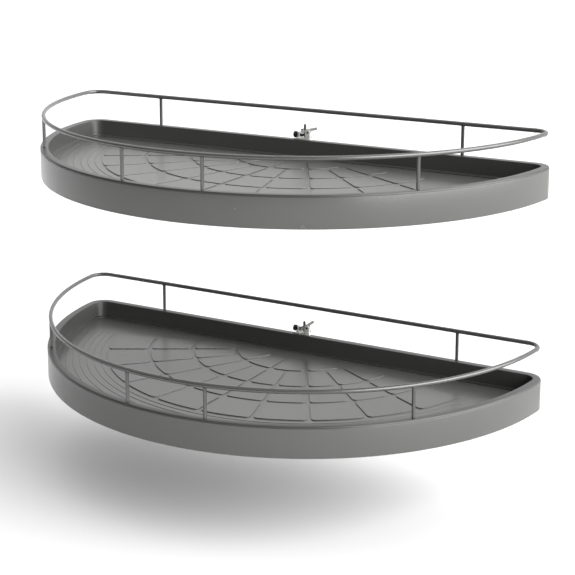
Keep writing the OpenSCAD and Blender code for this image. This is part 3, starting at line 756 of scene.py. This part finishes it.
def makeArmScrews():
    s = screwPiece
    near = [(*spokePoint(a, s["near"]), 0, 0) for a in armAngles]
    far = [(*spokePoint(a, r), 0, 0) for a in armAngles for r in farScrews]
    return joined([repeat(armScrew(s["nearTop"]), near, "zinc"),
                   repeat(armScrew(s["farTop"]), far, "zinc")])


def makeGrubs():
    g = grubPiece
    rings = raised(g["point"], g["inner"])
    rings += threadRings(g["radius"], g["inner"], **g["thread"])
    rings += raised(g["socket"], g["inner"] + g["length"])
    places = [(0, 0, g["height"], radians(a)) for a in g["angles"]]
    return repeat(moved(turned(rings, 24), turn=(0, 90, 0)), places, "black_steel")


addToBoth("arm_screws", smoothed(makeArmScrews(), 35))
addToBoth("grub_screws", makeGrubs(), "sleeve")
print("hubs and carriers made")


# The rod's groove is (out from its side, up from the clip), and its nose (share of the
# radius, height from the top). The crossbar's end is (share of the radius, distance from the
# end), and the thumb screw's head (share of the radius, distance along it).
rodPiece = {
    "x": -3, "y": -19.2, "radius": 2, "low": 46.8, "top": 83.3, "tip": 0.6, "clip": 56,
    "groove": ((0, -0.05), (-0.01, 0), (0, 0.85)),
    "nose": ((1, -3), (0.9, -1.9), (0.68, -0.8), (0.4, -0.15), (0, 0))}
crossbarPiece = {"z": 75.48, "radius": 1.2, "backY": -16.2, "frontY": -31.2,
                 "end": ((0, 0), (0.55, 0.08), (0.9, 0.4), (1, 0.8))}
pinPiece = {"x": 8.5, "y": -28.6, "z": 76.5, "radius": 1.5, "half": 5, "slack": 0.02,
            "edge": 0.4, "faceShare": 0.6}
thumbPiece = {
    "x": -16.5, "z": 69.9, "radius": 4.8, "teeth": 28, "toothDeep": 0.42,
    "head": ((0, -5), (0.55, -5), (0.62, -4.5), (0.88, -4.9), (0.94, -4.75), (1, -4.2),
             (1, -0.8), (0.93, -0.2), (0.7, 0), (0, 0)),
    "shank": 2.5, "long": 11.3, "sink": 0.3, "tip": 0.5,
    "thread": {"start": 0.6, "pitch": 0.8, "depth": 0.3, "root": 0.4}}
springPiece = {"low": 56.8, "top": 65, "coil": 2.75, "wire": 0.44, "turns": 3.6}
bracketScrew = {
    "xs": (-7, 1), "y": -30.1, "base": 67, "low": 61, "radius": 1.5, "tip": 0.6,
    "tipEdge": 0.5,
    "head": ((1.5, 0.02), (2.65, 0.02), (2.7, 0.3), (2.322, 0.75), (1.62, 0.9), (0.95, 0.9, 6),
             (0.9, 0.3, 6), (0, 0.2))}
rodLift = {shelf: leverPress[shelf] * liftPerDegree for shelf in shelves}


def makeRod():
    r = rodPiece
    radius, low, clip = r["radius"], r["low"], r["clip"]
    rings = [(0, low), (radius - r["tip"], low), (radius, low + r["tip"]),
             *[(radius + out, clip + up) for out, up in r["groove"]]]
    rings += [(radius * share, r["top"] + z) for share, z in r["nose"]]
    return smoothed(moved(turned(rings), r["x"], r["y"]), 35)


def makeCrossbar():
    c = crossbarPiece
    long, radius = c["backY"] - c["frontY"], c["radius"]
    rings = [(radius * share, z) for share, z in c["end"]]
    rings += [(radius * share, long - z) for share, z in reversed(c["end"])]
    bar = moved(turned(rings, 24), rodPiece["x"], c["backY"], c["z"], (90, 0, 0))
    return smoothed(bar, 50)


def makeLeverPin():
    p = pinPiece
    face, side = p["radius"] * p["faceShare"], p["radius"] - p["slack"]
    end, edge = p["half"], p["half"] - p["edge"]
    pin = turned([(0, -end), (face, -end), (side, -edge), (side, edge), (face, end),
                  (0, end)], 28)
    return smoothed(moved(pin, p["x"], p["y"], p["z"], (90, 0, 0)), 35)


# The head's edge is cut into teeth, and the shank is threaded
def makeThumbScrew():
    t = thumbPiece
    head = turned([(t["radius"] * share, z, 0, t["toothDeep"] if share == 1 else 0)
                   for share, z in t["head"]], 2 * t["teeth"])
    root = t["shank"] - t["thread"]["depth"]
    rings = [(0, -t["sink"]), (root, -t["sink"])]
    rings += threadRings(t["shank"], 0, **t["thread"])
    rings += [(root, t["long"] - t["tip"]), (t["shank"] - 1, t["long"]), (0, t["long"])]
    both = joined([head, turned(rings, 28)])
    return smoothed(moved(both, t["x"], rodPiece["y"], t["z"], (0, 90, 0)), 28)


def makeBracketScrews():
    s = bracketScrew
    rings = [(0, s["low"]), (s["radius"] - s["tipEdge"], s["low"]),
             (s["radius"], s["low"] + s["tip"])]
    screw = turned(rings + raised(s["head"], s["base"]), 30)
    return repeat(screw, [(x, s["y"], 0, 0) for x in s["xs"]], "latch_chrome")


# The lower end of the spring rides on the rod, and the upper end stays on the shelf
def addSpring(shelf):
    s, r = springPiece, rodPiece
    low = s["low"] + rodLift[shelf] + s["wire"]
    coil = runTree(lineMesh([[(0, 0, 0)]]), coilTree, {
        "Radius": s["coil"], "Wire": s["wire"], "Turns": s["turns"],
        "Length": s["top"] - s["wire"] - low, "Material": materials["spring_steel"]})
    piece = addPiece(shelf, "latch_spring", moved(coil, r["x"], r["y"], low), part=None)
    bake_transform(piece)


addToBoth("latch_rod", makeRod(), "rod", rodLift)
addToBoth("rod_crossbar", makeCrossbar(), "rod", rodLift)
addToBoth("lever_pin", makeLeverPin())
addToBoth("thumb_screw", makeThumbScrew(), "thumb")
addToBoth("bracket_screws", makeBracketScrews())
for shelf in shelves:
    addSpring(shelf)
print("latches made")


# Lengths here are in metres. The fill comes from the world, where it rises from fillFront to
# fillBack along a line that points back and up at fillTilt.
studio = {
    "floorZ": -0.122, "floorSize": 60, "floorColour": (0.88, 0.88, 0.88),
    "floorBounce": (0.34, 0.34, 0.33), "floorGlow": 0.02, "worldSeen": 1.0, "fillBack": 1.3,
    "fillFront": 0.0, "fillFrom": -0.25, "fillTilt": 40}
# The softbox is wide and low on the right. Its angle is its width, as the tray sees it.
softbox = {"azimuth": 92, "elevation": 14, "angle": 80, "strength": 8.2}
view = {"place": (1.0628, -1.9602, 0.7737), "azimuth": 29.466, "elevation": 12.503,
        "roll": 0.048, "lens": 91.7, "sensor": 36, "shiftY": -0.1565, "clipEnd": 200}


# Gives 1 for the camera's rays and the other kinds that are named, and 0 for the rest
def seenDirectly(tree, alsoIn=("Is Glossy Ray", "Is Transmission Ray")):
    path = addNode(tree, "ShaderNodeLightPath", {})
    total = path["Is Camera Ray"]
    for ray in alsoIn:
        total = addNode(tree, "ShaderNodeMath", {0: total, 1: path[ray]},
                        operation="ADD", use_clamp=True)["Value"]
    return total


# White paper where it is seen, and darker where it lights the part from below
def makeFloor():
    half = studio["floorSize"] / 2
    corners = ((-half, -half), (half, -half), (half, half), (-half, half))
    mesh = bpy.data.meshes.new("floor")
    mesh.from_pydata([(x, y, studio["floorZ"]) for x, y in corners], [], [(0, 1, 2, 3)])
    floor = bpy.data.objects.new("floor", mesh)
    bpy.context.scene.collection.objects.link(floor)
    paper = bpy.data.materials.new("floorPaper")
    paper.use_nodes = True
    tree = paper.node_tree
    tree.nodes.clear()
    seen = seenDirectly(tree)
    shade = addNode(tree, "ShaderNodeMix", {
        "Factor": seen, "A": (*studio["floorBounce"], 1), "B": (*studio["floorColour"], 1)},
        data_type="RGBA")
    diffuse = addNode(tree, "ShaderNodeBsdfDiffuse", {"Color": shade["Result"]})
    level = addNode(tree, "ShaderNodeMath", {0: seen, 1: studio["floorGlow"]},
                    operation="MULTIPLY")
    glow = addNode(tree, "ShaderNodeEmission", {"Strength": level["Value"]})
    both = addNode(tree, "ShaderNodeAddShader", {0: diffuse["BSDF"], 1: glow["Emission"]})
    addNode(tree, "ShaderNodeOutputMaterial", {"Surface": both["Shader"]})
    mesh.materials.append(paper)


# The camera sees a white room. All other rays get the fill.
def makeWorld():
    world = bpy.data.worlds.new("studio")
    bpy.context.scene.world = world
    world.use_nodes = True
    tree = world.node_tree
    tree.nodes.clear()
    tilt = radians(studio["fillTilt"])
    place = addNode(tree, "ShaderNodeTexCoord", {})
    along = addNode(tree, "ShaderNodeVectorMath", {
        0: place["Generated"], 1: (0, cos(tilt), sin(tilt))}, operation="DOT_PRODUCT")
    level = addNode(tree, "ShaderNodeMapRange", {
        "Value": along["Value"], "From Min": studio["fillFrom"],
        "To Min": studio["fillFront"], "To Max": studio["fillBack"]})
    white = (1, 1, 1, 1)
    fill = addNode(tree, "ShaderNodeBackground", {
        "Color": white, "Strength": level["Result"]})
    seen = addNode(tree, "ShaderNodeBackground", {
        "Color": white, "Strength": studio["worldSeen"]})
    mix = addNode(tree, "ShaderNodeMixShader", {
        "Fac": seenDirectly(tree, ()), 1: fill["Background"], 2: seen["Background"]})
    addNode(tree, "ShaderNodeOutputWorld", {"Surface": mix["Shader"]})


def makeSoftbox():
    light = bpy.data.lights.new("softbox", "SUN")
    light.angle, light.energy = radians(softbox["angle"]), softbox["strength"]
    az, el = radians(softbox["azimuth"]), radians(softbox["elevation"])
    obj = bpy.data.objects.new("softbox", light)
    toLight = Vector((sin(az) * cos(el), cos(az) * cos(el), sin(el)))
    obj.rotation_euler = toLight.to_track_quat("Z", "Y").to_euler()
    bpy.context.scene.collection.objects.link(obj)


def makeCamera():
    az, el = radians(view["azimuth"]), radians(view["elevation"])
    look = Vector((-sin(az) * cos(el), cos(az) * cos(el), -sin(el)))
    camera = bpy.data.objects.new("camera", bpy.data.cameras.new("camera"))
    camera.data.lens, camera.data.sensor_width = view["lens"], view["sensor"]
    camera.data.shift_y, camera.data.clip_end = view["shiftY"], view["clipEnd"]
    roll = Matrix.Rotation(radians(view["roll"]), 3, "Z")
    turn = look.to_track_quat("-Z", "Y").to_matrix() @ roll
    camera.matrix_world = Matrix.Translation(view["place"]) @ turn.to_4x4()
    bpy.context.scene.collection.objects.link(camera)
    bpy.context.scene.camera = camera


makeFloor()
makeWorld()
makeSoftbox()
makeCamera()
bpy.context.scene.view_settings.view_transform = "Standard"
print("studio made")
